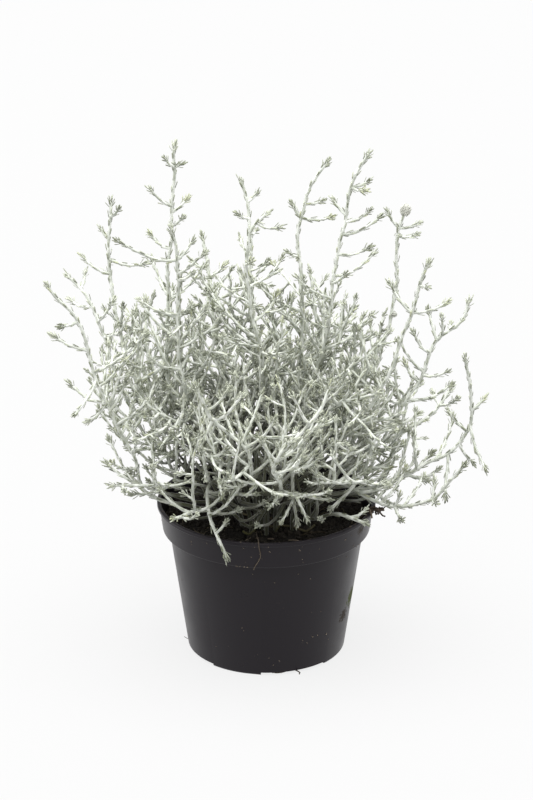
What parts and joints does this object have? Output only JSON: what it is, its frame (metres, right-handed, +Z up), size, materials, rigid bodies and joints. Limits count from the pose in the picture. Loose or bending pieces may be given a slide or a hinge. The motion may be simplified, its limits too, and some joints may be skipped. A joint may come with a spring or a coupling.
{
  "type": "potted cushion bush",
  "caption": "Silver, wiry, woolly-stemmed cushion shrublet in a round plastic nursery pot of peat, with long leafy-tipped shoots and a small globular flower head.",
  "frame": {"origin": "centre of the pot's flat base, on the pot's axis, at the surface that the pot stands on", "axes": "+Z up along the pot's axis, -Y towards the front, +X to the right seen from the front"},
  "size_m": [0.2362, 0.1881, 0.288],
  "materials": {
    "pot_plastic": "black moulded nursery-pot plastic, satin, with soft upright reflections and a little peat dust",
    "peat": "dark crumbly moist peat with fine fibres",
    "silver_wool": "thin woody stems felted with short silver-white wool, with small grey-green leaves",
    "pale_scales": "pale grey overlapping dry scales, downy and matte"
  },
  "bodies": {
    "root": {"flower_head": "pale_scales", "pot": "pot_plastic", "shoot_bud": "silver_wool", "shoot_centre_right": "silver_wool", "shoot_front_arch": "silver_wool", "shoot_front_fall": "silver_wool", "shoot_front_low": "silver_wool", "shoot_front_right_arch": "silver_wool", "shoot_front_rise": "silver_wool", "shoot_inner_01": "silver_wool", "shoot_inner_02": "silver_wool", "shoot_inner_03": "silver_wool", "shoot_inner_04": "silver_wool", "shoot_inner_05": "silver_wool", "shoot_inner_06": "silver_wool", "shoot_inner_07": "silver_wool", "shoot_inner_08": "silver_wool", "shoot_inner_09": "silver_wool", "shoot_inner_10": "silver_wool", "shoot_inner_11": "silver_wool", "shoot_inner_12": "silver_wool", "shoot_inner_13": "silver_wool", "shoot_inner_14": "silver_wool", "shoot_left_inner": "silver_wool", "shoot_left_outer": "silver_wool", "shoot_left_second": "silver_wool", "shoot_left_spike": "silver_wool", "shoot_mid": "silver_wool", "shoot_mid_left": "silver_wool", "shoot_right_low": "silver_wool", "shoot_right_mid": "silver_wool", "shoot_right_outer": "silver_wool", "shoot_right_second": "silver_wool", "shoot_right_tall": "silver_wool", "shoot_right_third": "silver_wool", "shoot_right_trail": "silver_wool", "shoot_rim_hang": "silver_wool", "shoot_tall_left": "silver_wool", "shoot_tall_left_twin": "silver_wool", "shoot_vee": "silver_wool", "soil": "peat"}
  },
  "joints": []
}
